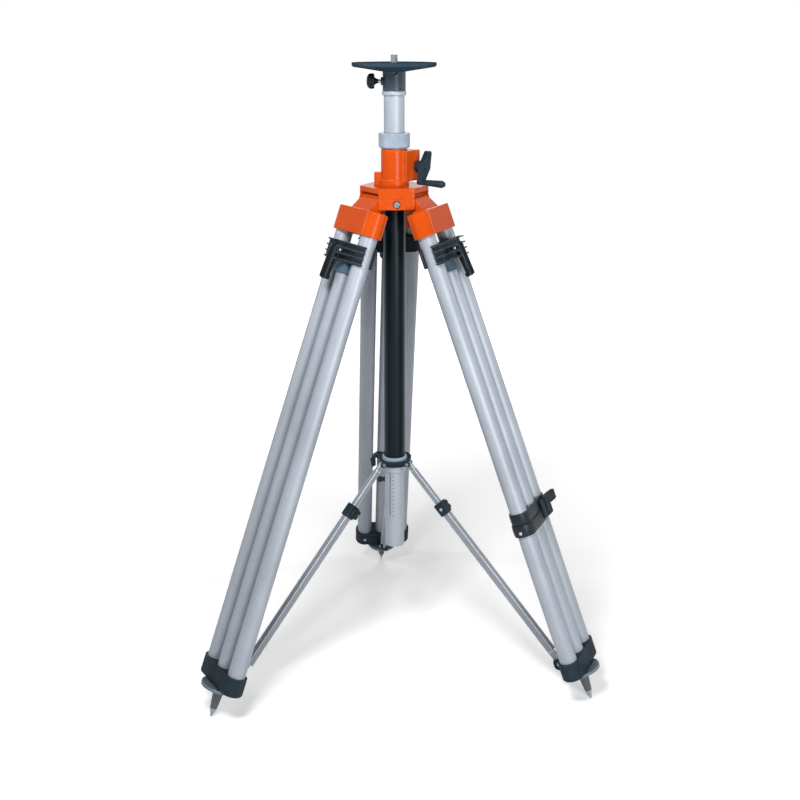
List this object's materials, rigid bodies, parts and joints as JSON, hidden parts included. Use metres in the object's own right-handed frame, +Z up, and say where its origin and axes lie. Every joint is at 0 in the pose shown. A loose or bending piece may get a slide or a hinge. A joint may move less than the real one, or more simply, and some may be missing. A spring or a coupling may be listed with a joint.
{
  "type": "surveying tripod",
  "caption": "Heavy surveying tripod with telescopic twin-tube legs, sliding braces to a central guide tube, and a crank-driven column under a round instrument plate.",
  "frame": {"origin": "on the ground, on the column axis, midway between the foot spikes", "axes": "+Z up along the column, rear leg towards +Y, crank to the front right (+X, -Y)"},
  "size_m": [0.9276, 0.8318, 1.4661],
  "materials": {
    "orange_paint": "gloss enamel on cast aluminium",
    "satin_aluminium": "satin anodised, drawn lengthwise",
    "black_paint": "semi-gloss black on aluminium tube",
    "black_plastic": "moulded, fine grain",
    "grey_ring": "satin light grey",
    "blue_grey_paint": "satin hammered enamel",
    "foot_steel": "zinc plated, dull",
    "bright_steel": "bright plated",
    "bush_plastic": "plain nylon",
    "webbing": "flat woven webbing"
  },
  "bodies": {
    "base": {"head_casting": "orange_paint", "hinge_cap": "orange_paint", "hinge_pins": "bright_steel", "head_screws": "bright_steel", "column_housing": "orange_paint", "upper_bush": "bush_plastic", "gear_cover": "orange_paint", "guide_tube": "black_paint", "brace_hub": "black_plastic", "brace_pins": "bright_steel", "guide_bush": "satin_aluminium"},
    "column": {"column_tube": "satin_aluminium", "gear_rack": "bright_steel", "column_ring": "satin_aluminium", "column_plug": "black_plastic"},
    "head": {"head_plate": "blue_grey_paint", "fixing_screw": "bright_steel"},
    "knob": {"clamp_knob": "black_plastic", "clamp_stud": "bright_steel"},
    "lock_ring": {"column_lock_ring": "grey_ring"},
    "crank": {"pinion_shaft": "bright_steel", "crank_arm": "blue_grey_paint"},
    "grip": {"crank_grip": "black_plastic"},
    "catch": {"brace_catch": "black_plastic"},
    "rear_leg": {"rear_shoulder": "orange_paint", "rear_outer_tubes": "satin_aluminium", "rear_shoe": "black_plastic"},
    "rear_extension": {"rear_inner_tube": "satin_aluminium", "rear_foot": "foot_steel", "rear_clamp_carriage": "black_plastic"},
    "rear_leg_lever": {"rear_clamp_lever": "black_plastic"},
    "rear_strut": {"rear_strut_rod": "satin_aluminium"},
    "rear_strut_slider": {"rear_strut_tube": "satin_aluminium", "rear_strut_clamp": "black_plastic"},
    "rear_wing": {"rear_strut_screw": "black_plastic"},
    "left_leg": {"left_shoulder": "orange_paint", "left_outer_tubes": "satin_aluminium", "left_shoe": "black_plastic"},
    "left_extension": {"left_inner_tube": "satin_aluminium", "left_foot": "foot_steel", "left_clamp_carriage": "black_plastic"},
    "left_leg_lever": {"left_clamp_lever": "black_plastic"},
    "left_strut": {"left_strut_rod": "satin_aluminium"},
    "left_strut_slider": {"left_strut_tube": "satin_aluminium", "left_strut_clamp": "black_plastic"},
    "left_wing": {"left_strut_screw": "black_plastic"},
    "right_leg": {"right_shoulder": "orange_paint", "right_outer_tubes": "satin_aluminium", "right_shoe": "black_plastic", "transport_strap": "webbing", "strap_buckle": "black_plastic"},
    "right_extension": {"right_inner_tube": "satin_aluminium", "right_foot": "foot_steel", "right_clamp_carriage": "black_plastic"},
    "right_leg_lever": {"right_clamp_lever": "black_plastic"},
    "right_strut": {"right_strut_rod": "satin_aluminium"},
    "right_strut_slider": {"right_strut_tube": "satin_aluminium", "right_strut_clamp": "black_plastic"},
    "right_wing": {"right_strut_screw": "black_plastic"}
  },
  "joints": [
    {"name": "column_lift", "type": "slide", "parent": "base", "child": "column", "axis": [0, 0, 1], "range_m": [-0.08, 0.45]},
    {"name": "head_swivel", "type": "hinge", "parent": "column", "child": "head", "pos_m": [0, 0, 1.38708], "axis": [0, 0, 1], "continuous": true},
    {"name": "head_clamp_turn", "type": "hinge", "parent": "head", "child": "knob", "pos_m": [-0.02993, 0.00209, 1.40808], "axis": [-0.9976, 0.0698, 0], "range_deg": [0, 270]},
    {"name": "lock_ring_turn", "type": "hinge", "parent": "base", "child": "lock_ring", "pos_m": [0, 0, 1.25978], "axis": [0, 0, 1], "range_deg": [0, 90]},
    {"name": "crank_turn", "type": "hinge", "parent": "base", "child": "crank", "pos_m": [0.0209, 0.0209, 1.21828], "axis": [0.7071, -0.7071, 0], "range_deg": [-3440, 614]},
    {"name": "grip_spin", "type": "hinge", "parent": "crank", "child": "grip", "pos_m": [0.06157, -0.03884, 1.1849], "axis": [0.7071, -0.7071, 0], "continuous": true},
    {"name": "catch_turn", "type": "hinge", "parent": "base", "child": "catch", "pos_m": [-0.0433, 0.025, 0.51278], "axis": [-0.5, -0.866, 0], "range_deg": [-80, 0]},
    {"name": "rear_leg_fold", "type": "hinge", "parent": "base", "child": "rear_leg", "pos_m": [0, 0.052, 1.15078], "axis": [-1, 0, 0], "range_deg": [0, 19]},
    {"name": "rear_leg_extend", "type": "slide", "parent": "rear_leg", "child": "rear_extension", "axis": [0, 0.3535, -0.9354], "range_m": [0, 0.45]},
    {"name": "rear_leg_clamp", "type": "hinge", "parent": "rear_extension", "child": "rear_leg_lever", "pos_m": [0, 0.15702, 1.04401], "axis": [-1, 0, 0], "range_deg": [-95, 0]},
    {"name": "rear_strut_turn", "type": "hinge", "parent": "base", "child": "rear_strut", "pos_m": [0, 0.037, 0.50378], "axis": [-1, 0, 0], "range_deg": [-1, 41]},
    {"name": "rear_strut_slide", "type": "slide", "parent": "rear_strut", "child": "rear_strut_slider", "axis": [0, 0.6761, -0.7368], "range_m": [-0.091, 0.002]},
    {"name": "rear_strut_clamp", "type": "hinge", "parent": "rear_strut_slider", "child": "rear_wing", "pos_m": [-0.0115, 0.12759, 0.40505], "axis": [-1, 0, 0], "range_deg": [0, 180]},
    {"name": "left_leg_fold", "type": "hinge", "parent": "base", "child": "left_leg", "pos_m": [-0.04503, -0.026, 1.15078], "axis": [0.5, -0.866, 0], "range_deg": [0, 19]},
    {"name": "left_leg_extend", "type": "slide", "parent": "left_leg", "child": "left_extension", "axis": [-0.3061, -0.1767, -0.9354], "range_m": [0, 0.45]},
    {"name": "left_leg_clamp", "type": "hinge", "parent": "left_extension", "child": "left_leg_lever", "pos_m": [-0.13598, -0.07851, 1.04401], "axis": [0.5, -0.866, 0], "range_deg": [-95, 0]},
    {"name": "left_strut_turn", "type": "hinge", "parent": "base", "child": "left_strut", "pos_m": [-0.03204, -0.0185, 0.50378], "axis": [0.5, -0.866, 0], "range_deg": [-1, 41]},
    {"name": "left_strut_slide", "type": "slide", "parent": "left_strut", "child": "left_strut_slider", "axis": [-0.5855, -0.338, -0.7368], "range_m": [-0.091, 0.002]},
    {"name": "left_strut_clamp", "type": "hinge", "parent": "left_strut_slider", "child": "left_wing", "pos_m": [-0.10475, -0.07376, 0.40505], "axis": [0.5, -0.866, 0], "range_deg": [0, 180]},
    {"name": "right_leg_fold", "type": "hinge", "parent": "base", "child": "right_leg", "pos_m": [0.04503, -0.026, 1.15078], "axis": [0.5, 0.866, 0], "range_deg": [0, 19]},
    {"name": "right_leg_extend", "type": "slide", "parent": "right_leg", "child": "right_extension", "axis": [0.3061, -0.1767, -0.9354], "range_m": [0, 0.45]},
    {"name": "right_leg_clamp", "type": "hinge", "parent": "right_extension", "child": "right_leg_lever", "pos_m": [0.13598, -0.07851, 1.04401], "axis": [0.5, 0.866, 0], "range_deg": [-95, 0]},
    {"name": "right_strut_turn", "type": "hinge", "parent": "base", "child": "right_strut", "pos_m": [0.03204, -0.0185, 0.50378], "axis": [0.5, 0.866, 0], "range_deg": [-1, 41]},
    {"name": "right_strut_slide", "type": "slide", "parent": "right_strut", "child": "right_strut_slider", "axis": [0.5855, -0.338, -0.7368], "range_m": [-0.091, 0.002]},
    {"name": "right_strut_clamp", "type": "hinge", "parent": "right_strut_slider", "child": "right_wing", "pos_m": [0.11625, -0.05384, 0.40505], "axis": [0.5, 0.866, 0], "range_deg": [0, 180]}
  ],
  "couplings": [
    {"joint": "crank_turn", "follows": "column_lift", "rad_per_m": -133.33},
    {"joint": "rear_strut_turn", "follows": "rear_leg_fold", "ratio": 2.0965},
    {"joint": "rear_strut_slide", "follows": "rear_leg_fold", "m_per_rad": -0.26588},
    {"joint": "left_strut_turn", "follows": "left_leg_fold", "ratio": 2.0965},
    {"joint": "left_strut_slide", "follows": "left_leg_fold", "m_per_rad": -0.26588},
    {"joint": "right_strut_turn", "follows": "right_leg_fold", "ratio": 2.0965},
    {"joint": "right_strut_slide", "follows": "right_leg_fold", "m_per_rad": -0.26588}
  ]
}
